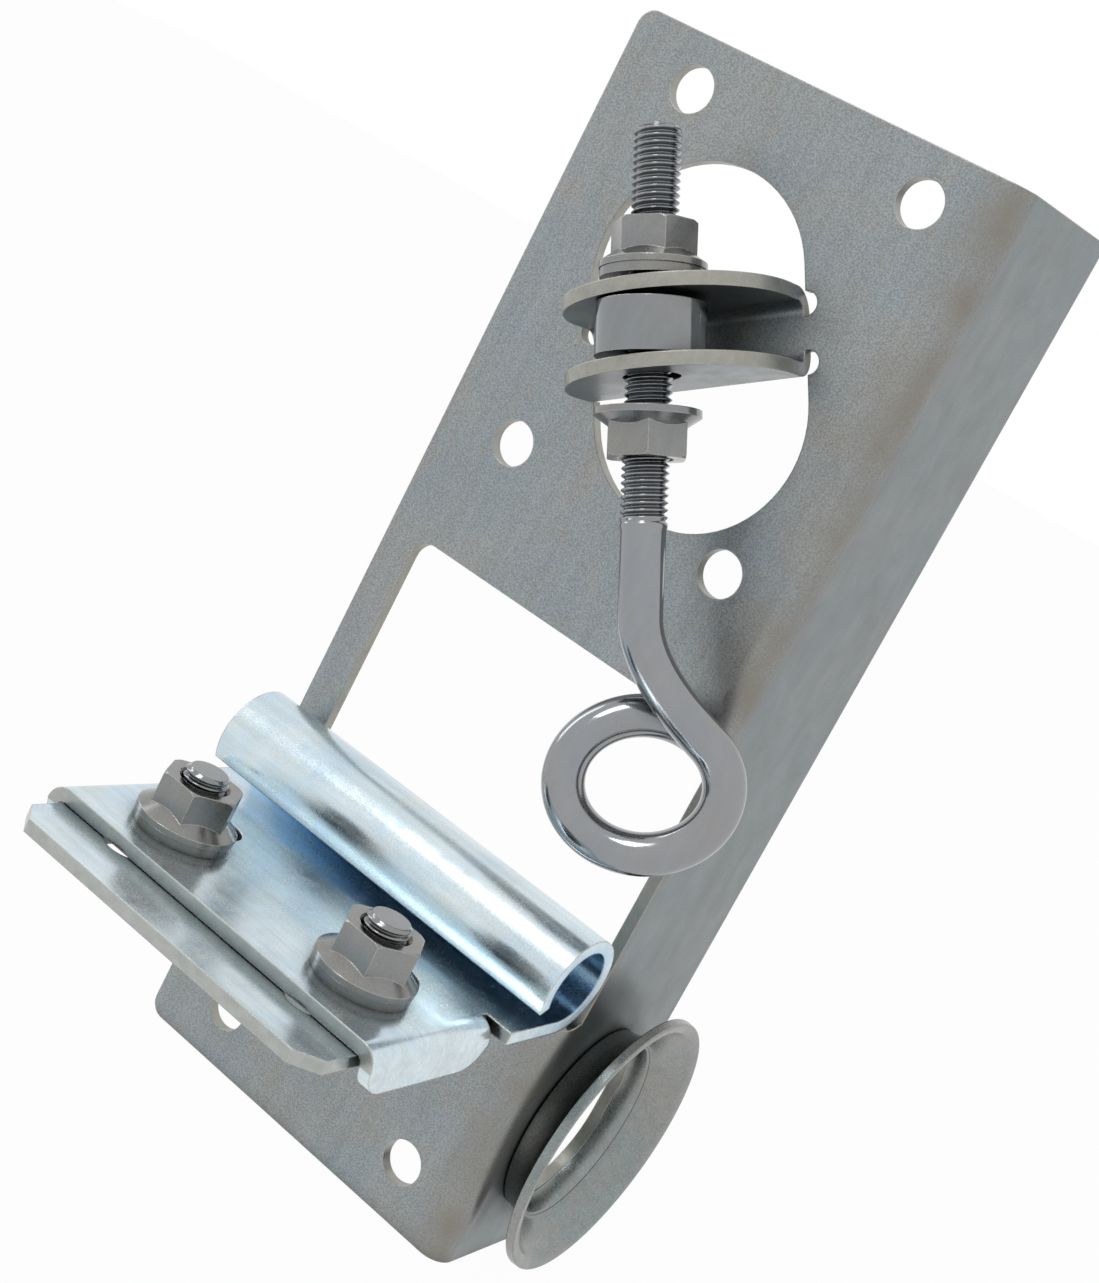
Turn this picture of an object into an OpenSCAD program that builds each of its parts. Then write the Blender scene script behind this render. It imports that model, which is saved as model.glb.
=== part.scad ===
// Cable hanger bracket: a pressed L-section plate with two bent-out ears that
// carry an eye bolt, a welded shelf with a sliding cable clamp, and a bell
// mouth on the side wall. Millimetres.
// Origin: centre of the four upper mounting holes, on the plate's back face.
// +Z runs up the plate, +X across it to the side wall, -Y out of its front.

/* [Plate] */
// Width of the plate, over the side wall
plate_w = 100; // [80:1:120]
// Length of the plate
plate_l = 266; // [235:1:320]
// Thickness of the pressed sheet
sheet = 3; // [2:0.25:4]
// Depth of the side wall, from the plate's front face
wall_d = 53; // [44:1:64]
// Inside radius of every bend
bend_r = 2.5; // [1.5:0.25:4]
// Radius of the plate's free corners
corner_r = 4; // [2:0.5:6]

/* [Mounting holes] */
// Diameter of the six mounting holes
hole_d = 10.6; // [8:0.2:13]
// Distance between the two columns of holes
hole_dx = 60; // [45:1:64]
// Distance between the two upper rows
hole_dz = 86; // [78:1:100]
// Height of the upper row below the plate's top edge
hole_top = 11.5; // [9:0.5:20]
// Height of the lower row above the plate's bottom edge
hole_bottom = 14; // [9:0.5:20]

/* [Ears] */
// Angle of the eye bolt to the plate's length
hanger_tilt = 33; // [20:1:40]
// Height of the ears' middle below the origin
hanger_drop = 4.2; // [2:0.2:6]
// Clear gap between the two ears
ear_gap = 13; // [11:0.5:16]
// Radius of the ears' round ends
ear_r = 25; // [22:0.5:26]
// Distance from the bend to the round end's centre, before bending
ear_flat = 10.6; // [9:0.2:12]
// Clearance that the shear leaves round each ear
shear_gap = 0.4; // [0.2:0.1:1]
// Radius of the relief holes at the ends of the ears' bends
relief_r = 2.6; // [2:0.1:3.5]

/* [Eye bolt] */
// Angle that the loose eye bolt leans in the ears' holes
bolt_lean = 4; // [0:0.5:5]
// Thread diameter of the eye bolt and the clamp bolts
bolt_d = 10; // [8:0.5:11]
// Diameter of the eye bolt's plain shank
shank_d = 9.4; // [7.5:0.1:10.4]
// Distance of the eye bolt's axis from the plate's front face
bolt_out = 20.9; // [19:0.1:24]
// Length of the eye bolt above the ears' middle
bolt_up = 42; // [38:1:60]
// Length of thread below the ears' middle
thread_down = 40; // [36:1:50]
// Height of the eye's centre below the ears' middle
eye_down = 93; // [88:0.5:100]
// Distance of the eye's centre beside the bolt's axis
eye_off = 1.9; // [0:0.1:3]
// Half width of the eye, to the wire's middle
eye_a = 16.6; // [13:0.1:17.5]
// Half height of the eye, to the wire's middle
eye_b = 14.2; // [12:0.2:16]
// Turn of the eye about the bolt's axis
eye_turn = 28; // [0:1:60]
// Free play of the eye bolt under the lower ear
bolt_play = 6.8; // [2:0.2:9]

/* [Nuts and washers] */
// Width of the nuts across flats
nut_af = 16; // [14:0.5:18]
// Height of the nuts, with their flange
nut_h = 10; // [8:0.5:12]
// Diameter of the nuts' flange
flange_d = 22.4; // [20:0.2:24]
// Thickness of the nuts' flange at its rim
flange_t = 1.4; // [1:0.1:2]
// Diameter of the washers
washer_d = 22; // [20:0.5:24]
// Thickness of the washers
washer_t = 2; // [1:0.25:2.5]
// Radial clearance of a nut on its thread
thread_fit = 0.05; // [0.02:0.01:0.1]
// Radial clearance of washers and ear holes round a bolt
hole_fit = 0.4; // [0.3:0.05:1]
// Outside diameter of the spacer sleeve
sleeve_d = 23; // [18:0.5:25]
// Least gap between an ear and what turns or rests beside it
ear_clear = 0.15; // [0.1:0.05:0.5]
// Height of the cone above a nut's flange
cone_h = 2.2; // [1.5:0.1:3]
// Chamfer of a nut's six corners
nut_chamfer = 0.6; // [0.3:0.1:1.2]
// Depth of the chamfer in a nut's bore
bore_chamfer = 0.8; // [0.4:0.1:1]
// Chamfer at the end of a bolt
bolt_chamfer = 1; // [0.5:0.1:1.2]
// Turn of the upper nut on the eye bolt
upper_nut_turn = 12; // [0:1:59]
// Turn of the lower nut on the eye bolt
lower_nut_turn = 0; // [0:1:59]

/* [Window and shelf] */
// Height of the window's lower edge above the plate's bottom edge
window_low = 66; // [62:1:70]
// Height of the window
window_h = 72.4; // [66:1:76]
// Width of the strip left beside the window
window_strip = 8.8; // [6:0.2:12]
// Radius of the window's upper corners
window_r = 5; // [2:0.5:8]
// Thickness of the shelf and of the clamp plate
clamp_t = 3; // [2.5:0.25:4]
// Reach of the shelf in front of the plate
shelf_out = 91; // [84:1:100]
// Gap between the shelf's ends and the window's
shelf_end_gap = 0.5; // [0.3:0.1:1]
// Size of the shelf's clipped corners
shelf_clip = 5; // [2:0.5:8]
// Leg of the weld under the shelf
weld_leg = 3; // [2:0.5:4]
// Front end of the shelf's slots, measured from the shelf's front edge
slot_front = 12.6; // [11:0.2:16]
// Length of the shelf's slots
shelf_slot_l = 34; // [30:1:36]

/* [Clamp plate] */
// Distance between the clamp bolts
clamp_dx = 54; // [48:1:58]
// Distance of the clamp bolts from the plate's front face
clamp_out = 58.6; // [58:0.2:61]
// Distance of the clamp plate's front edge in front of the bolts
clamp_front = 18.4; // [16:0.2:20]
// Outside radius of the rolled barrel
barrel_r = 11.7; // [10:0.1:12]
// Distance of the barrel's axis behind the clamp bolts
barrel_back = 43.2; // [42:0.2:43.2]
// Angle of sheet rolled into the barrel
barrel_turn = 298; // [270:1:305]
// Length of the barrel
barrel_l = 101; // [98:0.5:104]
// Length of the side lips
lip_l = 41; // [36:1:43]
// Depth of the side lips, from the clamp plate's top face
lip_h = 10; // [8:0.5:14]
// Length of the clamp plate's slots
clamp_slot_l = 28; // [24:1:30]
// Sliding clearance between the clamp plate and the shelf
slide_gap = 0.15; // [0.1:0.05:0.3]
// Radius of the lips' lower corners
lip_r = 7; // [2:0.5:8]
// Inside radius of a lip's bend
lip_bend_r = 1.5; // [1:0.1:1.8]
// Clearance between a lip and the shelf's end
lip_gap = 1.4; // [1.3:0.1:2]
// Clearance of a bolt's square neck in the shelf's slot, each side
neck_fit = 0.3; // [0.2:0.05:0.5]
// Length of thread that shows above a clamp nut
thread_show = 2.6; // [2:0.2:5]
// Radius of the clamp bolts' round head
head_r = 11; // [10:0.5:12]
// Height of the clamp bolts' round head
head_h = 4.6; // [3.5:0.1:6]
// How far the square neck ends below the shelf's top face
neck_short = 0.5; // [0.3:0.1:1]
// Distance from the clamp bolts to the back of the clamp plate's slots
slot_back = 17.6; // [16:0.2:18]
// Gap between the lips and the wide part that carries the barrel
lip_notch = 2; // [1:0.5:4]

/* [Bell mouth] */
// Height of the bell mouth's centre above the plate's bottom edge
bell_up = 36.5; // [36:0.5:44]
// Distance of the bell mouth's centre behind the plate's front face
bell_in = 27.3; // [26:0.1:30]
// Half width of the throat
throat_a = 18.5; // [12:0.1:20]
// Half height of the throat
throat_b = 22.4; // [20:0.2:26]
// Half width of the rim
rim_a = 32.5; // [28:0.5:34]
// Half height of the rim
rim_b = 36.5; // [32:0.5:38]
// Height of the rim above the wall
bell_h = 12; // [9:0.5:15]
// Thickness of the bell mouth's sheet
bell_t = 2.4; // [1.5:0.1:3]

/* [Hidden] */
$fn = 64;

bend_o = bend_r + sheet;
half_w = plate_w / 2;
plate_top = hole_dz / 2 + hole_top;
plate_low = plate_top - plate_l;
lower_row = plate_low + hole_bottom;
front = -sheet;                  // the plate's front face
wall_back = wall_d - sheet;      // the side wall's free edge

// Ears, in a frame whose z is the eye bolt's axis and whose -y is outward
ear_in = ear_gap / 2;            // inner face of an ear
ear_t = sheet - 0.02;            // the bend thins the sheet a little
ear_out = ear_in + ear_t;        // outer face of an ear
ear_bend = ear_in - bend_r;      // where an ear's bend starts on the plate
ear_open_r = ear_r + shear_gap;
relief_up = relief_r - 0.4;      // a relief hole bites a little past the bend
ear_lap = 1;                     // how far an ear runs into the plate
ear_bend_l = (bend_r + sheet / 2) * PI / 2;
ear_side = max(ear_flat - ear_bend_l, 0);   // straight side beyond the bend
ear_hole_d = bolt_d + 2 * (hole_fit + ear_out * tan(bolt_lean));

// What leans on the bolt clears the ears' faces at its rim
upper_washer_z = ear_out + ear_clear + washer_d / 2 * sin(bolt_lean);
upper_nut_z = upper_washer_z + washer_t;
lower_nut_z = -ear_out - bolt_play;
sleeve_l = ear_gap - 2 * (ear_clear + sleeve_d / 2 * sin(bolt_lean));

// Window, shelf and clamp
window_z = plate_low + window_low;
window_x = -half_w + window_strip;
window_end = half_w - sheet;
shelf_x0 = window_x + shelf_end_gap;
shelf_x1 = window_end - shelf_end_gap;
clamp_x = (shelf_x0 + shelf_x1) / 2;
shelf_w = shelf_x1 - shelf_x0;
shelf_top = window_z + clamp_t;
shelf_y = front - shelf_out;
clamp_z = shelf_top + slide_gap;
clamp_top = clamp_z + clamp_t;
clamp_y = front - clamp_out;
barrel_y = clamp_y + barrel_back;
lip_in = shelf_w / 2 + lip_gap;
lip_out = lip_in + clamp_t;
lip_bend = lip_bend_r + clamp_t;
neck_w = bolt_d;
slot_w = neck_w + 2 * neck_fit;
clamp_nut_z = clamp_top + washer_t;
seat_gap = 0.01;                 // between a bolt's head and the shelf

module hanger_frame() {
    translate([0, front, -hanger_drop]) rotate([0, -hanger_tilt, 0]) children();
}

module hanger_axis() {
    hanger_frame() translate([0, -bolt_out, 0]) rotate([0, bolt_lean, 0]) children();
}

module clamp_axis(side) {
    translate([clamp_x + side * clamp_dx / 2, clamp_y, 0]) children();
}

// A square corner with its outside quarter cut away, to round a plate
module corner_cut(r, h) {
    difference() {
        translate([0, 0, -h / 2]) cube([r + 1, r + 1, h]);
        translate([0, 0, -h]) cylinder(r = r, h = 2 * h);
    }
}

// A bend: a quarter ring of sheet round z, from +x to +y, over the length l
module quarter_bend(r_in, t, l) {
    far = r_in + t + 1;
    intersection() {
        difference() {
            cylinder(r = r_in + t, h = l);
            translate([0, 0, -1]) cylinder(r = r_in, h = l + 2);
        }
        translate([0, 0, -1]) cube([far, far, l + 2]);
    }
}

// --- Bracket ---------------------------------------------------------------

// The L-shaped section, seen along z
module plate_section() {
    translate([-half_w, front]) square([plate_w - bend_o, sheet]);
    translate([half_w - sheet, front + bend_o]) square([sheet, wall_d - bend_o]);
    translate([half_w - bend_o, front + bend_o]) intersection() {
        difference() {
            circle(r = bend_o);
            circle(r = bend_r);
        }
        translate([0, -bend_o - 1]) square([bend_o + 1, bend_o + 1]);
    }
}

// The opening that one ear leaves, seen from the front, above the middle
module ear_opening() {
    translate([-ear_open_r, ear_bend]) square([2 * ear_open_r, ear_flat]);
    translate([0, ear_bend + ear_flat]) intersection() {
        circle(r = ear_open_r);
        translate([-ear_open_r, 0]) square(2 * ear_open_r);
    }
    for (x = [-ear_open_r, ear_open_r])
        translate([x, ear_bend + relief_up]) circle(r = relief_r);
}

module ear() {
    translate([-ear_r, 0, ear_bend - ear_lap]) cube([2 * ear_r, ear_t, ear_lap]);
    translate([-ear_r, -bend_r, ear_bend]) rotate([90, 0, 90])
        quarter_bend(bend_r, ear_t, 2 * ear_r);
    difference() {
        translate([0, -bend_r - ear_side, ear_in]) {
            translate([-ear_r, 0, 0]) cube([2 * ear_r, ear_side, ear_t]);
            intersection() {
                cylinder(r = ear_r, h = ear_t);
                translate([-ear_r - 1, -ear_r - 1, 0])
                    cube([2 * ear_r + 2, ear_r + 1, ear_t]);
            }
        }
        translate([0, -bolt_out, ear_in - 1])
            cylinder(d = ear_hole_d, h = sheet + 2);
    }
}

module window_cut() {
    w = window_end - window_x;
    cut_y = front - 1;
    cut_d = bend_o + 1;
    translate([window_x, cut_y, window_z])
        cube([w + sheet + 1, cut_d, window_h - window_r]);
    translate([window_x + window_r, cut_y, window_z])
        cube([w - window_r + sheet + 1, cut_d, window_h]);
    translate([window_x + window_r, cut_y + cut_d, window_z + window_h - window_r])
        rotate([90, 0, 0]) cylinder(r = window_r, h = cut_d);
    translate([half_w - bend_o / 2, cut_y + cut_d, window_z])
        rotate([90, 0, 0]) cylinder(r = relief_r, h = cut_d + 5);
}

module throat_slot(a, b, h) {
    for (s = [-1, 1]) translate([0, s * (b - a), 0]) cylinder(r = a, h = h);
    translate([-a, a - b, 0]) cube([2 * a, 2 * (b - a), h]);
}

module bracket() color("silver") {
    difference() {
        translate([0, 0, plate_low]) linear_extrude(plate_l) plate_section();
        // rounded free corners of the plate and of the side wall
        for (up = [0, 1]) {
            z = up ? plate_top - corner_r : plate_low + corner_r;
            translate([-half_w + corner_r, 0, z]) rotate([90, 0, 0])
                rotate([0, 0, up ? 90 : 180]) corner_cut(corner_r, 4 * sheet);
            translate([half_w, wall_back - corner_r, z]) rotate([90, 0, 90])
                rotate([0, 0, up ? 0 : -90]) corner_cut(corner_r, 4 * sheet);
        }
        for (x = [-1, 1], z = [hole_dz / 2, -hole_dz / 2, lower_row])
            translate([x * hole_dx / 2, 1, z]) rotate([90, 0, 0])
                cylinder(d = hole_d, h = sheet + 2);
        hanger_frame() for (s = [0, 1]) mirror([0, 0, s])
            translate([0, sheet + 1, 0]) rotate([90, 0, 0])
                linear_extrude(sheet + 2) ear_opening();
        window_cut();
        translate([half_w - sheet - 1, front + bell_in, plate_low + bell_up])
            rotate([90, 0, 90]) throat_slot(throat_a, throat_b, sheet + 2);
    }
    hanger_frame() for (s = [0, 1]) mirror([0, 0, s]) ear();
}

// --- Bell mouth ------------------------------------------------------------

bell_rings = 12;
bell_sides = 72;
bell_arc = 86;                   // how far the profile turns outward, in degrees
bell_swell = (rim_a - throat_a + rim_b - throat_b) / 2;

// One ring of the bell: its height off the wall and its two half axes
function bell_ring(q, t) =
    let (nx = -bell_swell * sin(q), nr = bell_h * cos(q), n = norm([nx, nr]))
    [max(bell_h * sin(q) + t * nx / n, 0),
     throat_a + (rim_a - throat_a - bell_t / 2) * (1 - cos(q)) + t * nr / n,
     throat_b + (rim_b - throat_b - bell_t / 2) * (1 - cos(q)) + t * nr / n];

module bell_mouth() color("darkgray") {
    inside = [for (i = [0 : bell_rings]) bell_ring(bell_arc * i / bell_rings, 0)];
    outside = [for (i = [bell_rings : -1 : 0])
        bell_ring(bell_arc * i / bell_rings, bell_t)];
    rings = concat(inside, outside);
    n = len(rings);
    points = [for (r = rings, k = [0 : bell_sides - 1])
        let (a = 360 * k / bell_sides) [r[0], r[1] * cos(a), r[2] * sin(a)]];
    faces = [for (i = [0 : n - 1], k = [0 : bell_sides - 1])
        let (j = (i + 1) % n, m = (k + 1) % bell_sides)
        [i * bell_sides + k, j * bell_sides + k,
         j * bell_sides + m, i * bell_sides + m]];
    translate([half_w, front + bell_in, plate_low + bell_up])
        polyhedron(points, faces, convexity = 6);
}

// --- Fasteners -------------------------------------------------------------

module flange_nut() {
    af_r = nut_af / 2 / cos(30);
    difference() {
        union() {
            cylinder(d = flange_d, h = flange_t);
            translate([0, 0, flange_t])
                cylinder(d1 = flange_d, d2 = nut_af, h = cone_h);
            intersection() {
                cylinder(r = af_r, h = nut_h, $fn = 6);
                cylinder(r1 = af_r + nut_h - nut_chamfer,
                    r2 = af_r - nut_chamfer, h = nut_h);
            }
        }
        translate([0, 0, -1]) cylinder(d = bolt_d + 2 * thread_fit, h = nut_h + 2);
        translate([0, 0, nut_h - bore_chamfer])
            cylinder(r1 = bolt_d / 2, r2 = bolt_d / 2 + 1, h = 1);
    }
}

module plain_washer() {
    difference() {
        cylinder(d = washer_d, h = washer_t);
        translate([0, 0, -1])
            cylinder(d = bolt_d + hole_fit, h = washer_t + 2);
    }
}

// A bolt of length l with its end chamfered
module bolt_end(l) {
    cylinder(d = bolt_d, h = l - bolt_chamfer);
    translate([0, 0, l - bolt_chamfer])
        cylinder(d1 = bolt_d, d2 = bolt_d - 2 * bolt_chamfer, h = bolt_chamfer);
}

// Eye: a curve from the shank into the ring, then once round it
eye_sides = 20;
eye_join = 40;                   // where on the ring the shank's curve joins
eye_sweep = 350;                 // how much of the ring follows
wire_lap = 0.5;                  // how far the round shank runs into the curve
wire_step = 0.15;                // the facetted wire is this much thinner
curve_steps = 14;
ring_steps = 44;
bend_rise = 21;                  // from the eye's top up to the start of the bend
coil_gap = 0.6;                  // between the eye's end and the shank
bend_top = -eye_down + eye_b + bend_rise;

function bezier(p, t) = pow(1 - t, 3) * p[0] + 3 * pow(1 - t, 2) * t * p[1]
    + 3 * (1 - t) * t * t * p[2] + pow(t, 3) * p[3];

function ring_point(a) = [eye_off + eye_a * cos(a), 0, -eye_down + eye_b * sin(a)];

function smooth(t) = t * t * (3 - 2 * t);

eye_start = ring_point(eye_join);
eye_along = [eye_a * sin(eye_join), 0, -eye_b * cos(eye_join)];
bend_pull = 9;                   // how long the curve keeps the shank's course
join_pull = 0.75;                // and the ring's, as a share of its radius
eye_curve = [[0, 0, bend_top], [0, 0, bend_top - bend_pull],
    eye_start - join_pull * eye_along, eye_start];
eye_path = concat(
    [for (i = [0 : curve_steps - 1]) bezier(eye_curve, i / curve_steps)],
    [for (i = [0 : ring_steps])
        let (t = i / ring_steps, p = ring_point(eye_join - eye_sweep * t))
        p + [0, (shank_d + coil_gap) * smooth(t), 0]]);

function along(p, i) = let (last = len(p) - 1,
    d = p[min(i + 1, last)] - p[max(i - 1, 0)]) d / norm(d);

module swept_wire(p, d, sides) {
    n = len(p);
    points = [for (i = [0 : n - 1], k = [0 : sides - 1])
        let (z = along(p, i), s = cross(z, [0, 1, 0]), x = s / norm(s),
             y = cross(z, x), a = 360 * k / sides)
        p[i] + d / 2 * (x * cos(a) + y * sin(a))];
    faces = concat(
        [[for (k = [0 : sides - 1]) k]],
        [for (i = [0 : n - 2], k = [0 : sides - 1])
            let (m = (k + 1) % sides)
            [i * sides + k, (i + 1) * sides + k,
             (i + 1) * sides + m, i * sides + m]],
        [[for (k = [sides - 1 : -1 : 0]) (n - 1) * sides + k]]);
    polyhedron(points, faces, convexity = 8);
}

module eye_bolt() color("gainsboro") hanger_axis() {
    translate([0, 0, -thread_down]) bolt_end(bolt_up + thread_down);
    translate([0, 0, bend_top - wire_lap])
        cylinder(d = shank_d, h = wire_lap - bend_top - thread_down);
    rotate([0, 0, eye_turn]) swept_wire(eye_path, shank_d - wire_step, eye_sides);
}

module upper_washer() color("silver") hanger_axis()
    translate([0, 0, upper_washer_z]) plain_washer();

module upper_nut() color("gainsboro") hanger_axis()
    translate([0, 0, upper_nut_z]) rotate([0, 0, upper_nut_turn]) flange_nut();

module lower_nut() color("gainsboro") hanger_axis()
    translate([0, 0, lower_nut_z]) mirror([0, 0, 1])
        rotate([0, 0, lower_nut_turn]) flange_nut();

module spacer_sleeve() color("whitesmoke") hanger_axis() {
    translate([0, 0, -sleeve_l / 2]) difference() {
        cylinder(d = sleeve_d, h = sleeve_l);
        translate([0, 0, -1])
            cylinder(d = bolt_d + 2 * thread_fit, h = sleeve_l + 2);
    }
}

// --- Shelf and clamp -------------------------------------------------------

// A slot along y, from y0 forward over the length l
module slot(y0, l, w, h) {
    for (y = [y0 - w / 2, y0 - l + w / 2]) translate([0, y, 0]) cylinder(d = w, h = h);
    translate([-w / 2, y0 - l + w / 2, 0]) cube([w, l - w, h]);
}

module clamp_shelf() color("lightsteelblue") {
    difference() {
        translate([shelf_x0, shelf_y, window_z]) cube([shelf_w, shelf_out + sheet, clamp_t]);
        for (s = [-1, 1]) {
            translate([clamp_x + s * shelf_w / 2, shelf_y, window_z - 1])
                rotate([0, 0, 45]) cube([shelf_clip * sqrt(2), shelf_clip * sqrt(2),
                    2 * clamp_t + 2], center = true);
            translate([clamp_x + s * clamp_dx / 2, 0, window_z - 1])
                slot(shelf_y + slot_front + shelf_slot_l, shelf_slot_l, slot_w,
                    clamp_t + 2);
        }
    }
    translate([shelf_x0, front, window_z]) rotate([90, 0, 90])
        linear_extrude(shelf_w) polygon([[0, 0], [-weld_leg, 0], [0, -weld_leg]]);
}

// One side lip, bent down over the shelf's end; drawn for the +x side
module lip() {
    y0 = clamp_y - clamp_front;
    translate([lip_out - lip_bend, y0 + lip_l, clamp_top - lip_bend])
        rotate([90, 0, 0]) quarter_bend(lip_bend - clamp_t, clamp_t, lip_l);
    drop = lip_h - lip_bend;
    intersection() {
        translate([lip_out - clamp_t, y0, clamp_top - lip_h])
            cube([clamp_t, lip_l, drop]);
        translate([lip_out - clamp_t - 1, y0, clamp_top - lip_h]) union() {
            for (y = [lip_r, lip_l - lip_r]) translate([0, y, lip_r])
                rotate([0, 90, 0]) cylinder(r = lip_r, h = clamp_t + 2);
            translate([0, lip_r, 0]) cube([clamp_t + 2, lip_l - 2 * lip_r, lip_h]);
            translate([0, 0, lip_r]) cube([clamp_t + 2, lip_l, lip_h]);
        }
    }
}

module clamp_plate() color("lightsteelblue") translate([clamp_x, 0, 0]) {
    flat_w = 2 * (lip_out - lip_bend);
    y0 = clamp_y - clamp_front;
    lip_end = y0 + lip_l;
    difference() {
        union() {
            translate([-flat_w / 2, y0, clamp_z])
                cube([flat_w, barrel_y - y0, clamp_t]);
            translate([-barrel_l / 2, lip_end + lip_notch, clamp_z])
                cube([barrel_l, barrel_y - lip_end - lip_notch, clamp_t]);
        }
        for (s = [-1, 1])
            translate([s * clamp_dx / 2, 0, clamp_z - 1])
                slot(clamp_y + slot_back, clamp_slot_l, slot_w, clamp_t + 2);
    }
    for (s = [0, 1]) mirror([s, 0, 0]) lip();
    translate([0, barrel_y, clamp_z + barrel_r]) barrel();
}

// The rolled barrel: it leaves the plate at its lowest line, goes round behind
// and over the top, and ends short of the plate
module barrel() {
    far = 2 * barrel_r;
    end = barrel_turn - 90;
    rotate([90, 0, 90]) translate([0, 0, -barrel_l / 2]) difference() {
        cylinder(r = barrel_r, h = barrel_l);
        translate([0, 0, -1]) cylinder(r = barrel_r - clamp_t, h = barrel_l + 2);
        translate([0, 0, -1]) linear_extrude(barrel_l + 2)
            polygon([[0, 0], far * [cos(end), sin(end)],
                far * [cos(end), sin(end)] + [0, -far], [0, -far]]);
    }
}

module clamp_bolt(side) color("silver") clamp_axis(side) {
    dome_r = (head_r * head_r + head_h * head_h) / (2 * head_h);
    under = window_z - seat_gap;
    translate([0, 0, under]) intersection() {
        translate([0, 0, dome_r - head_h]) sphere(r = dome_r);
        translate([-head_r, -head_r, -head_h]) cube([2 * head_r, 2 * head_r, head_h]);
    }
    translate([-neck_w / 2, -neck_w / 2, under - 1])
        cube([neck_w, neck_w, clamp_t - neck_short + 1]);
    translate([0, 0, under]) bolt_end(clamp_nut_z + nut_h + thread_show - under);
}

module clamp_bolt_left() clamp_bolt(-1);

module clamp_bolt_right() clamp_bolt(1);

module clamp_washer_left() color("silver") clamp_axis(-1)
    translate([0, 0, clamp_top]) plain_washer();

module clamp_washer_right() color("silver") clamp_axis(1)
    translate([0, 0, clamp_top]) plain_washer();

module clamp_nut_left() color("gainsboro") clamp_axis(-1)
    translate([0, 0, clamp_nut_z]) flange_nut();

module clamp_nut_right() color("gainsboro") clamp_axis(1)
    translate([0, 0, clamp_nut_z]) flange_nut();

bracket();
clamp_shelf();
bell_mouth();
eye_bolt();
upper_washer();
upper_nut();
spacer_sleeve();
lower_nut();
clamp_plate();
clamp_bolt_left();
clamp_bolt_right();
clamp_washer_left();
clamp_washer_right();
clamp_nut_left();
clamp_nut_right();
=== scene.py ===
"""Looks of the cable hanger bracket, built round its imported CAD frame. Metres, row frame."""
import math

import bmesh
import bpy
from mathutils import Matrix, Vector


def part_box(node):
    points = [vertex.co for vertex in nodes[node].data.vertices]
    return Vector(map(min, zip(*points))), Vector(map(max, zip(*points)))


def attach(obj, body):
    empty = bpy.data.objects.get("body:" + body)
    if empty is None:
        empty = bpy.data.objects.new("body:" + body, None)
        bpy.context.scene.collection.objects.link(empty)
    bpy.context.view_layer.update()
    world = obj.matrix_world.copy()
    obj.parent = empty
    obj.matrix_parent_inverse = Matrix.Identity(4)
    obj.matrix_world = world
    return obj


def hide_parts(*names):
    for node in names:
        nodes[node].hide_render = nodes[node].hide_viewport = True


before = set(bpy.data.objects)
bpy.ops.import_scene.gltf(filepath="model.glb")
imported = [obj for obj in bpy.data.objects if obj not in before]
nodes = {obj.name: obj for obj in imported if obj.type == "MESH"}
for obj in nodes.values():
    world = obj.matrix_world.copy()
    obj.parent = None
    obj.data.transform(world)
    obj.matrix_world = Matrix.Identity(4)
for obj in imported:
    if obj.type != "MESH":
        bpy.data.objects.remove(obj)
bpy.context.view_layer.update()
MM = 0.001
scene = bpy.context.scene
scene.view_settings.view_transform = "Standard"


# ---- Camera ---------------------------------------------------------------

def make_camera():
    data = bpy.data.cameras.new("camera")
    data.sensor_fit, data.sensor_width, data.lens = "AUTO", 36, 57.9
    data.clip_start, data.clip_end = 0.01, 50
    cam = bpy.data.objects.new("camera", data)
    spot = Vector((0.2084, -0.3959, 0.029))
    target = Vector((0.0044, -0.0085, -0.0747))
    roll = math.radians(27.6)
    turn = (target - spot).to_track_quat("-Z", "Y").to_matrix().to_4x4()
    cam.matrix_world = Matrix.Translation(spot) @ turn @ Matrix.Rotation(roll, 4, "Z")
    scene.collection.objects.link(cam)
    scene.camera = cam


make_camera()


# ---- Node materials -------------------------------------------------------

class Graph:
    """A short way to write a node tree: each call adds a node and returns its output."""

    def __init__(self, name):
        self.material = bpy.data.materials.new(name)
        self.material.use_nodes = True
        self.tree = self.material.node_tree
        self.tree.nodes.clear()

    def add(self, kind, ins=None, out=0, **settings):
        node = self.tree.nodes.new(kind)
        for key, value in settings.items():
            setattr(node, key, value)
        for key, value in (ins or {}).items():
            if isinstance(value, bpy.types.NodeSocket):
                self.tree.links.new(value, node.inputs[key])
            else:
                node.inputs[key].default_value = value
        return node.outputs[out] if node.outputs else None

    def math(self, op, a, b=0.0, clamp=False):
        return self.add("ShaderNodeMath", {0: a, 1: b}, operation=op, use_clamp=clamp)

    def noise(self, vector, scale, detail=2.0, rough=0.5, distortion=0.0):
        return self.add("ShaderNodeTexNoise", {"Vector": vector, "Scale": scale,
            "Detail": detail, "Roughness": rough, "Distortion": distortion})

    def ramp(self, value, low, high, a=0.0, b=1.0):
        return self.add("ShaderNodeMapRange", {"Value": value, "From Min": low,
            "From Max": high, "To Min": a, "To Max": b}, clamp=True)

    def stretch(self, vector, scale):
        return self.add("ShaderNodeMapping", {"Vector": vector, "Scale": scale})

    def mix(self, factor, a, b, blend="MIX"):
        node = self.tree.nodes.new("ShaderNodeMix")
        node.data_type, node.blend_type = "RGBA", blend
        for key, value in ((0, factor), (6, a), (7, b)):
            if isinstance(value, bpy.types.NodeSocket):
                self.tree.links.new(value, node.inputs[key])
            else:
                node.inputs[key].default_value = value
        return node.outputs[2]


def rgb(r, g, b):
    return (r, g, b, 1.0)


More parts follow.
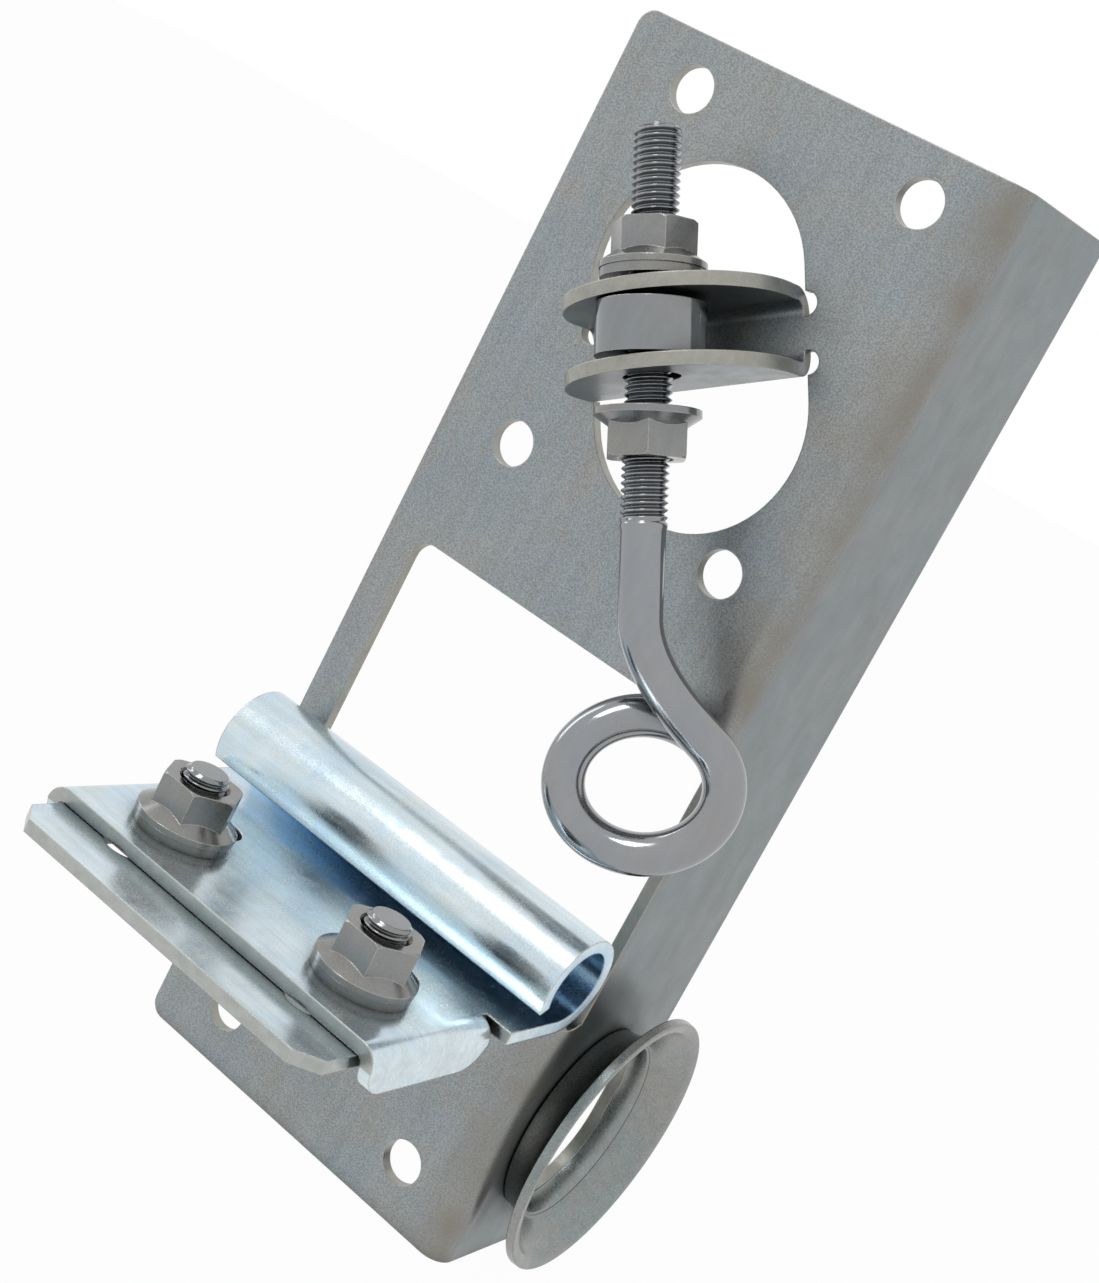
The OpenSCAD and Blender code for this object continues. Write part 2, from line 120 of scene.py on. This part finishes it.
def zinc(name, base, cool, warm, rough, edge, grain=0.25, metallic=1.0,
         mottle=0.5, streak=0.3, streak_dir=(1, 1, 0.08), bevel=0.35, tint_and_painted_light=None,
         cut_faces=None, specks=0.5):
    """Plated steel: cloudy blue and yellow tones, rolling streaks, fine grain, specks, rubbed edges
    lightened as a painted highlight, and painted shade in crevices.
    """
    g = Graph(name)
    spot = g.add("ShaderNodeTexCoord", out="Object")
    normal = g.add("ShaderNodeNewGeometry", out="Normal")
    soft = g.add("ShaderNodeBevel", {"Radius": bevel * MM}, samples=6) if bevel else None
    cloud = g.noise(spot, 38, 3, 0.55, 0.6)
    cloud2 = g.noise(g.stretch(spot, (1.7, 1.3, 1)), 95, 4, 0.6, 0.4)
    lines = g.noise(g.stretch(spot, streak_dir), 420, 3, 0.6)
    fine = g.noise(spot, 2600, 2, 0.6)
    coarse = g.noise(spot, 900, 3, 0.65)
    colour = g.mix(g.ramp(cloud, 0.36, 0.62), rgb(*cool), rgb(*base))
    colour = g.mix(g.math("MULTIPLY", g.ramp(cloud2, 0.5, 0.72), mottle), colour, rgb(*warm))
    tone = g.math("ADD", g.math("MULTIPLY", lines, streak), g.math("MULTIPLY", fine, grain))
    total = streak + grain
    tone = g.ramp(tone, 0.36 * total, 0.64 * total, 1 - 0.5 * total, 1 + 0.35 * total)
    colour = g.mix(1.0, colour, tone, "MULTIPLY")
    if specks:
        dots = g.add("ShaderNodeTexVoronoi", {"Vector": spot, "Scale": 210}, out="Distance")
        specks_and_painted_shade = g.ramp(g.math("ADD", dots, g.math("MULTIPLY", fine, 0.05)), 0.05, 0.1, 1, 0)
        rare = g.ramp(g.noise(spot, 70, 1), 0.55, 0.62)
        specks_and_painted_shade = g.math("MULTIPLY", g.math("MULTIPLY", specks_and_painted_shade, rare), specks)
        colour = g.mix(specks_and_painted_shade, colour, rgb(0.12, 0.11, 0.1))
    if tint_and_painted_light:
        colour = tint_and_painted_light(g, spot, colour)
    if cut_faces:
        cut = cut_faces(g, spot, normal)
        cut_tone = g.mix(g.ramp(g.noise(spot, 420, 3), 0.35, 0.7),
                         rgb(*edge), rgb(*[c * 0.82 for c in edge]))
        colour = g.mix(g.math("MULTIPLY", cut, 0.8), colour, cut_tone)
    shade = metallic
    if bevel:
        # Rubbed edges with painted highlight: bevelled rims are lightened and made less metallic, a
        # painted bright outline along edges and holes.
        rim_dot = g.add("ShaderNodeVectorMath", {0: soft, 1: normal}, "Value",
                     operation="DOT_PRODUCT")
        wear_and_painted_highlight = g.math("MULTIPLY", g.ramp(rim_dot, 0.995, 0.88, 0, 0.8),
                      g.ramp(coarse, 0.3, 0.5))
        colour = g.mix(wear_and_painted_highlight, colour, rgb(*[min(c * 1.7, 0.95) for c in edge]))
        shade = g.math("MULTIPLY_ADD", wear_and_painted_highlight, -0.5 * metallic)
        shade.node.inputs[2].default_value = metallic
    # Painted shade: colour darkened in crevices, contacts and gaps between parts, from ambient
    # occlusion.
    specks_and_painted_shade = g.add("ShaderNodeAmbientOcclusion", {"Distance": 5 * MM}, out="AO", samples=4)
    colour = g.mix(1.0, colour, g.ramp(specks_and_painted_shade, 0.2, 0.85, 0.15, 1.0), "MULTIPLY")
    shine = g.ramp(g.math("ADD", g.math("MULTIPLY", cloud2, 0.6), g.math("MULTIPLY", fine, 0.4)),
                   0.35, 0.65, rough - 0.07, rough + 0.08)
    height = g.math("ADD", g.math("MULTIPLY", fine, 0.6), g.math("MULTIPLY", coarse, 0.8))
    height = g.math("ADD", height, g.math("MULTIPLY", lines, 0.5 * streak))
    smooth = {"Normal": soft} if bevel else {}
    bump = g.add("ShaderNodeBump", {"Height": height, "Strength": grain,
        "Distance": 0.05 * MM, **smooth})
    shader = g.add("ShaderNodeBsdfPrincipled", {"Base Color": colour, "Metallic": shade,
        "Roughness": shine, "Normal": bump})
    shader.node.inputs["Base Color"].default_value = rgb(*base)
    g.add("ShaderNodeOutputMaterial", {"Surface": shader})
    return g.material


BARREL_Y, BARREL_Z = -0.0184, -0.13065    # centre line of the clamp plate's rolled barrel
CLAMP_X = 0.0029                          # middle of the clamp plate
EAR_TILT = math.radians(33)


def axis_of(g, vector, name):
    node = g.add("ShaderNodeSeparateXYZ", {0: vector}).node
    return node.outputs[name]


def bracket_cuts(g, spot, normal):
    """1 on the sheared faces of the web, the side wall and the ears."""
    nx, ny = (g.math("ABSOLUTE", axis_of(g, normal, k)) for k in "XY")
    x, y = (axis_of(g, spot, k) for k in "XY")
    flat_web = g.ramp(ny, 0.3, 0.15)
    in_web = g.math("MULTIPLY", g.ramp(y, 0.0005, -0.0001), g.ramp(y, -0.0035, -0.0029))
    web_side = g.math("MULTIPLY", g.math("MULTIPLY", flat_web, in_web), g.ramp(x, 0.0446, 0.044))
    on_wall = g.math("MULTIPLY", g.ramp(nx, 0.3, 0.15), g.ramp(y, 0.002, 0.003))
    along = g.add("ShaderNodeVectorMath", {0: normal,
        1: (-math.sin(EAR_TILT), 0, math.cos(EAR_TILT))}, "Value", operation="DOT_PRODUCT")
    on_ear = g.math("MULTIPLY", g.ramp(g.math("ABSOLUTE", along), 0.3, 0.15),
                    g.ramp(y, -0.0087, -0.0095))
    return g.math("MAXIMUM", web_side, g.math("MAXIMUM", on_wall, on_ear))


def bend_tint_and_wall_painted_shade(g, spot, colour):
    """The long bend is browner than the web, and the side wall is darker as painted shade."""
    x, y = (axis_of(g, spot, k) for k in "XY")
    near_bend = g.math("MULTIPLY", g.ramp(x, 0.036, 0.0475), g.ramp(y, 0.006, 0.0))
    patchy = g.math("MULTIPLY", near_bend, g.ramp(g.noise(spot, 60, 3), 0.3, 0.65, 0.25, 0.9))
    colour = g.mix(patchy, colour, rgb(0.26, 0.24, 0.205))
    # Painted shade: the side wall is darkened.
    wall = g.math("MULTIPLY", g.ramp(x, 0.0468, 0.047), g.ramp(y, 0.0005, 0.004))
    return g.mix(g.math("MULTIPLY", wall, 0.6), colour, rgb(0.19, 0.215, 0.22))


def tray_cuts(g, spot, normal):
    """1 on the upright cut edges of the shelf and the clamp plate."""
    nx, nz = (g.math("ABSOLUTE", axis_of(g, normal, k)) for k in "XZ")
    x, y = (axis_of(g, spot, k) for k in "XY")
    from_middle = g.math("ABSOLUTE", g.math("SUBTRACT", x, CLAMP_X))
    lip_face = g.math("MULTIPLY", g.ramp(nx, 0.85, 0.95), g.ramp(from_middle, 0.0445, 0.045))
    upright = g.math("MULTIPLY", g.ramp(nz, 0.3, 0.15), g.ramp(y, -0.0355, -0.037))
    return g.math("MULTIPLY", upright, g.math("SUBTRACT", 1.0, lip_face))


def barrel_painted_reflection(g, spot, colour):
    """Painted reflection: the inside of the rolled barrel is painted bluer."""
    y, z = (axis_of(g, spot, k) for k in "YZ")
    out = g.add("ShaderNodeCombineXYZ", {"Y": g.math("SUBTRACT", y, BARREL_Y),
                                         "Z": g.math("SUBTRACT", z, BARREL_Z)})
    away = g.add("ShaderNodeVectorMath", {0: out}, "Value", operation="LENGTH")
    # Painted blue reflection inside the barrel.
    return g.mix(g.ramp(away, 0.0105, 0.0095, 0, 0.6), colour, rgb(0.42, 0.64, 0.86))


satin = zinc("satin_zinc", (0.34, 0.355, 0.355), (0.31, 0.35, 0.37), (0.36, 0.35, 0.31), 0.38,
             (0.40, 0.39, 0.34), grain=0.5, streak=0.08, metallic=0.9, bevel=0.45,
             tint_and_painted_light=bend_tint_and_wall_painted_shade, cut_faces=bracket_cuts)
bright = zinc("bright_zinc", (0.66, 0.75, 0.79), (0.55, 0.68, 0.77), (0.66, 0.70, 0.64), 0.23,
              (0.40, 0.40, 0.36), grain=0.12, streak=0.14, cut_faces=tray_cuts,
              streak_dir=(0.08, 1, 1), specks=0.3, bevel=0.6, tint_and_painted_light=barrel_painted_reflection)
dull = zinc("dull_zinc", (0.30, 0.305, 0.295), (0.26, 0.29, 0.29), (0.31, 0.29, 0.25), 0.29,
            (0.36, 0.35, 0.31), grain=0.35, streak=0.1, streak_dir=(0.2, 1, 1), specks=0.3,
            bevel=0)
polished = zinc("polished_zinc", (0.26, 0.265, 0.27), (0.24, 0.26, 0.27), (0.27, 0.26, 0.23),
                0.11, (0.36, 0.35, 0.32), grain=0.04, mottle=0.3, streak=0.06, specks=0.15,
                bevel=0.3)
nut_zinc = zinc("nut_zinc", (0.27, 0.265, 0.25), (0.25, 0.26, 0.265), (0.26, 0.24, 0.20),
                0.2, (0.36, 0.35, 0.32), grain=0.12, mottle=0.5, streak=0.08, specks=0.3,
                bevel=0.35)
chrome = zinc("bright_rod", (0.30, 0.302, 0.31), (0.28, 0.30, 0.32), (0.31, 0.30, 0.28),
              0.12, (0.36, 0.36, 0.36), grain=0.04, mottle=0.35, streak=0.05, specks=0.2, bevel=0)


def finish_with(obj, material):
    obj.data.materials.clear()
    obj.data.materials.append(material)


CAD_FINISHES = (
    (satin, ("bracket",)),
    (bright, ("clamp_shelf", "clamp_plate")),
    (nut_zinc, ("upper_washer", "upper_nut", "lower_nut", "clamp_washer_left",
                "clamp_washer_right", "clamp_nut_left", "clamp_nut_right")),
    (polished, ("spacer_sleeve",)),
)
for material, names in CAD_FINISHES:
    for name in names:
        nodes[name].data.materials.clear()
        nodes[name].data.materials.append(material)


# ---- Meshes ---------------------------------------------------------------

def mesh_object(name, rings, closed_rings=False, place=Matrix.Identity(4)):
    """A skin over rings of points of equal length, in mm: capped, or closed into a loop."""
    sides = len(rings[0])
    points = [place @ (Vector(p) * MM) for ring in rings for p in ring]
    count = len(rings)
    faces = []
    for i in range(count if closed_rings else count - 1):
        j = (i + 1) % count
        for k in range(sides):
            m = (k + 1) % sides
            faces.append((i * sides + k, i * sides + m, j * sides + m, j * sides + k))
    if not closed_rings:
        faces.append(tuple(reversed(range(sides))))
        faces.append(tuple((count - 1) * sides + k for k in range(sides)))
    mesh = bpy.data.meshes.new(name)
    mesh.from_pydata(points, [], faces)
    mesh.validate()
    for polygon in mesh.polygons:
        polygon.use_smooth = len(polygon.vertices) == 4
    obj = bpy.data.objects.new(name, mesh)
    scene.collection.objects.link(obj)
    return obj


SIDES = 40
ROUND = [2 * math.pi * k / SIDES for k in range(SIDES)]


def ring(z, radius, angles=ROUND):
    return [(radius * math.cos(a), radius * math.sin(a), z) for a in angles]


PITCH = 1.5
THREAD_DEPTH = 0.86


def thread_cut(z, a):
    """Depth of an M10 thread's groove below its crest."""
    t = (z / PITCH - a / (2 * math.pi)) % 1.0
    v = abs(2 * t - 1)
    return THREAD_DEPTH * min(max((v - 0.12) / 0.76, 0), 1)


def threaded(z0, z1, d, angles=ROUND, fade_low=2.0, chamfer=0.9):
    """Rings of a thread from z0 up to z1, fading out at its lower end, chamfered at its top."""
    steps = int((z1 - z0) / PITCH * 8)
    out = []
    for i in range(steps + 1):
        z = z0 + (z1 - z0) * i / steps
        keep = min((z - z0) / fade_low, 1)
        limit = d / 2 - max(0, z - (z1 - chamfer)) * 0.9
        radii = [min(d / 2 - keep * thread_cut(z, a), limit) for a in angles]
        out.append([(r * math.cos(a), r * math.sin(a), z) for r, a in zip(radii, angles)])
    return out


# ---- Eye bolt -------------------------------------------------------------

LEAN, DROP, FRONT, BOLT_OUT = 4, 4.2, -3, 20.9
BOLT_D, SHANK_D, BOLT_UP, THREAD_DOWN = 10, 9.4, 42, 40
EYE_DOWN, EYE_OFF, EYE_A, EYE_B, EYE_TURN = 93, 1.9, 16.6, 14.2, 28
EYE_JOIN, EYE_SWEEP, WIRE_D = 40, 350, 9.16
BEND_RISE, BEND_PULL, JOIN_PULL, COIL_GAP = 21, 9, 0.75, 0.6
BEND_TOP = -EYE_DOWN + EYE_B + BEND_RISE


def hanger_place():
    """From the eye bolt's own frame (mm turned to m) to the row frame."""
    return (Matrix.Translation(Vector((0, FRONT, -DROP)) * MM)
            @ Matrix.Rotation(-EAR_TILT, 4, "Y")
            @ Matrix.Translation(Vector((0, -BOLT_OUT, 0)) * MM)
            @ Matrix.Rotation(math.radians(LEAN), 4, "Y"))


def eye_point(a):
    a = math.radians(a)
    return Vector((EYE_OFF + EYE_A * math.cos(a), 0, -EYE_DOWN + EYE_B * math.sin(a)))


def eye_path(curve_steps=40, ring_steps=150):
    start = eye_point(EYE_JOIN)
    j = math.radians(EYE_JOIN)
    along = Vector((EYE_A * math.sin(j), 0, -EYE_B * math.cos(j)))
    p = [Vector((0, 0, BEND_TOP)), Vector((0, 0, BEND_TOP - BEND_PULL)),
         start - JOIN_PULL * along, start]
    out = []
    for i in range(curve_steps):
        t = i / curve_steps
        out.append((1 - t) ** 3 * p[0] + 3 * (1 - t) ** 2 * t * p[1]
                   + 3 * (1 - t) * t * t * p[2] + t ** 3 * p[3])
    for i in range(ring_steps + 1):
        t = i / ring_steps
        q = eye_point(EYE_JOIN - EYE_SWEEP * t)
        q.y += (SHANK_D + COIL_GAP) * t * t * (3 - 2 * t)
        out.append(q)
    return out


def eye_bolt():
    """One skin from the thread's tip down the shank and round the eye to its cut end."""
    turn = math.radians(EYE_TURN)
    angles = [turn - 2 * math.pi * k / SIDES for k in range(SIDES)]
    rows = threaded(-THREAD_DOWN, BOLT_UP, BOLT_D, angles)
    rows.reverse()
    for z in (-THREAD_DOWN - 1.2, -THREAD_DOWN - 5, BEND_TOP + 5):
        rows.append(ring(z, SHANK_D / 2, angles))
    path = eye_path()
    rot = Matrix.Rotation(turn, 3, "Z")
    last = len(path) - 1
    for i, p in enumerate(path):
        ahead = (path[min(i + 1, last)] - path[max(i - 1, 0)]).normalized()
        x = ahead.cross(Vector((0, 1, 0))).normalized()
        y = ahead.cross(x)
        wide = SHANK_D / 2 + (WIRE_D - SHANK_D) / 2 * min(i / 12, 1)
        for inset, push in ((0, 0),) if i < last else ((0, 0), (0.5, 0.4)):
            rows.append([tuple(rot @ (p + ahead * push + (wide - inset)
                         * (x * math.cos(a) + y * math.sin(a))))
                         for a in (2 * math.pi * k / SIDES for k in range(SIDES))])
    obj = mesh_object("eye_bolt_visual", rows, place=hanger_place())
    finish_with(obj, chrome)
    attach(obj, "hanger")
    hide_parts("eye_bolt")


eye_bolt()


# ---- Bell mouth -----------------------------------------------------------

def bell_mouth():
    throat_a, throat_b, rim_a, rim_b, height, t = 18.5, 22.4, 32.5, 36.5, 12, 2.4
    wall_x, bell_in, plate_low = 50, 27.3, -211.5
    centre = Vector((wall_x, FRONT + bell_in, plate_low + rim_b))
    swell = (rim_a - throat_a + rim_b - throat_b) / 2

    def row(q, thick):
        q = math.radians(q)
        nx, nr = -swell * math.sin(q), height * math.cos(q)
        n = math.hypot(nx, nr)
        return (max(height * math.sin(q) + thick * nx / n, 0),
                throat_a + (rim_a - throat_a - t / 2) * (1 - math.cos(q)) + thick * nr / n,
                throat_b + (rim_b - throat_b - t / 2) * (1 - math.cos(q)) + thick * nr / n)

    # inside: a collar, a ledge where the flare starts, and a raised flat border at the rim
    inner = [(0, 0), (8, 0), (16, 0), (22, 0), (25.5, 0.05), (27, 0.9), (30, 1.05), (36, 1.1),
             (42, 1.1), (48, 1.1), (54, 1.05), (60, 1.0), (65, 0.9), (69, 0.7), (72, 0.3),
             (74, 0.12), (78, 0.05), (82, 0), (86, 0)]
    sides = 144
    rows = [row(q, depth) for q, depth in inner]
    rows += [row(86 - 4.3 * i, t) for i in range(21)]
    rings = [[(r[0], r[1] * math.cos(a), r[2] * math.sin(a))
              for a in (2 * math.pi * k / sides for k in range(sides))] for r in rows]
    obj = mesh_object("bell_mouth_visual", rings, closed_rings=True,
                      place=Matrix.Translation(centre * MM))
    bevel = obj.modifiers.new("rim", "BEVEL")
    bevel.width, bevel.segments, bevel.limit_method = 0.5 * MM, 3, "ANGLE"
    bevel.angle_limit = math.radians(40)
    bevel.harden_normals = True
    finish_with(obj, dull)
    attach(obj, "frame_plate")
    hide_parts("bell_mouth")


bell_mouth()


# ---- Clamp bolts ----------------------------------------------------------

def clamp_bolt(name):
    """A round head, a square neck and a real thread, at the place of the CAD bolt."""
    lo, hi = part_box("clamp_bolt_" + name)
    x, y = (lo.x + hi.x) / 2 / MM, (lo.y + hi.y) / 2 / MM
    under, head_r, head_h = -145.51, 11, 4.6
    top = hi.z / MM
    dome = (head_r ** 2 + head_h ** 2) / (2 * head_h)
    place = Matrix.Translation(Vector((x, y, 0)) * MM)
    head = []
    for i in range(13):
        z = -head_h + head_h * i / 12
        r = math.sqrt(max(dome ** 2 - (z + head_h - dome) ** 2, 0.01))
        head.append(ring(under + z, min(r, head_r)))
    body = head + [ring(under, 5), ring(under + 2.5, 5)]
    body += threaded(under + 3, top, BOLT_D, fade_low=1.5, chamfer=1.0)
    obj = mesh_object("clamp_bolt_%s_visual" % name, body, place=place)
    neck = 5.0
    square = [[(sx * neck, sy * neck, z) for sx, sy in ((1, -1), (1, 1), (-1, 1), (-1, -1))]
              for z in (under - 0.5, under + 2.5)]
    collar = mesh_object("neck", square, place=place)
    for polygon in collar.data.polygons:
        polygon.use_smooth = False
    for o in (obj, collar):
        o.data.materials.append(polished)
    bpy.ops.object.select_all(action="DESELECT")
    obj.select_set(True)
    collar.select_set(True)
    bpy.context.view_layer.objects.active = obj
    bpy.ops.object.join()
    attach(obj, "bolts")
    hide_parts("clamp_bolt_" + name)


clamp_bolt("left")
clamp_bolt("right")


# ---- Stage ----------------------------------------------------------------

def plain(name, build):
    g = Graph(name)
    g.add("ShaderNodeOutputMaterial", {"Surface": build(g)})
    return g.material


def panel(name, material, size, place):
    mesh = bpy.data.meshes.new(name)
    w, h = size[0] / 2, size[1] / 2
    mesh.from_pydata([(-w, -h, 0), (w, -h, 0), (w, h, 0), (-w, h, 0)], [], [(0, 1, 2, 3)])
    obj = bpy.data.objects.new(name, mesh)
    obj.data.materials.append(material)
    obj.matrix_world = place
    scene.collection.objects.link(obj)


def facing(spot, target=(0, 0, -0.08)):
    spot, target = Vector(spot), Vector(target)
    turn = (target - spot).to_track_quat("-Z", "Y").to_matrix().to_4x4()
    return Matrix.Translation(spot) @ turn


def floor_shader(g):
    path = g.add("ShaderNodeLightPath").node
    seen = g.math("MAXIMUM", path.outputs["Is Camera Ray"], path.outputs["Is Glossy Ray"])
    seen = g.math("MAXIMUM", seen, path.outputs["Is Transmission Ray"])
    matt = g.add("ShaderNodeBsdfDiffuse", {"Color": rgb(0.85, 0.85, 0.85)})
    glow = g.add("ShaderNodeEmission", {"Color": rgb(1, 1, 1), "Strength": 1.0})
    return g.add("ShaderNodeMixShader", {0: g.math("MULTIPLY", seen, 0.97), 1: matt, 2: glow})


FLOOR_Z = -0.2125                # 1 mm below the plate's lower edge
panel("floor", plain("floor", floor_shader), (6, 6), Matrix.Translation((0, 0, FLOOR_Z)))


def lamp(name, spot, size, power):
    data = bpy.data.lights.new(name, "AREA")
    data.shape, data.size, data.size_y = "RECTANGLE", size[0], size[1]
    data.energy = power
    obj = bpy.data.objects.new(name, data)
    obj.matrix_world = facing(spot)
    scene.collection.objects.link(obj)


lamp("key", (-0.35, -0.85, 1.05), (0.45, 0.45), 4)
lamp("side", (-1.1, -0.1, 0.35), (0.25, 0.8), 1.5)


def make_world():
    """Grey light on the object, and white for the camera and for what metal reflects."""
    world = bpy.data.worlds.new("studio")
    scene.world = world
    world.use_nodes = True
    tree = world.node_tree
    tree.nodes.clear()
    path = tree.nodes.new("ShaderNodeLightPath")
    most = [tree.nodes.new("ShaderNodeMath") for _ in range(2)]
    for m in most:
        m.operation = "MAXIMUM"
    tree.links.new(path.outputs["Is Camera Ray"], most[0].inputs[0])
    tree.links.new(path.outputs["Is Glossy Ray"], most[0].inputs[1])
    tree.links.new(most[0].outputs[0], most[1].inputs[0])
    tree.links.new(path.outputs["Is Transmission Ray"], most[1].inputs[1])
    shades = [tree.nodes.new("ShaderNodeBackground") for _ in range(2)]
    shades[0].inputs["Color"].default_value = rgb(0.35, 0.36, 0.38)
    shades[1].inputs["Color"].default_value = rgb(1, 1, 1)
    blend = tree.nodes.new("ShaderNodeMixShader")
    tree.links.new(most[1].outputs[0], blend.inputs[0])
    tree.links.new(shades[0].outputs[0], blend.inputs[1])
    tree.links.new(shades[1].outputs[0], blend.inputs[2])
    out = tree.nodes.new("ShaderNodeOutputWorld")
    tree.links.new(blend.outputs[0], out.inputs["Surface"])


make_world()
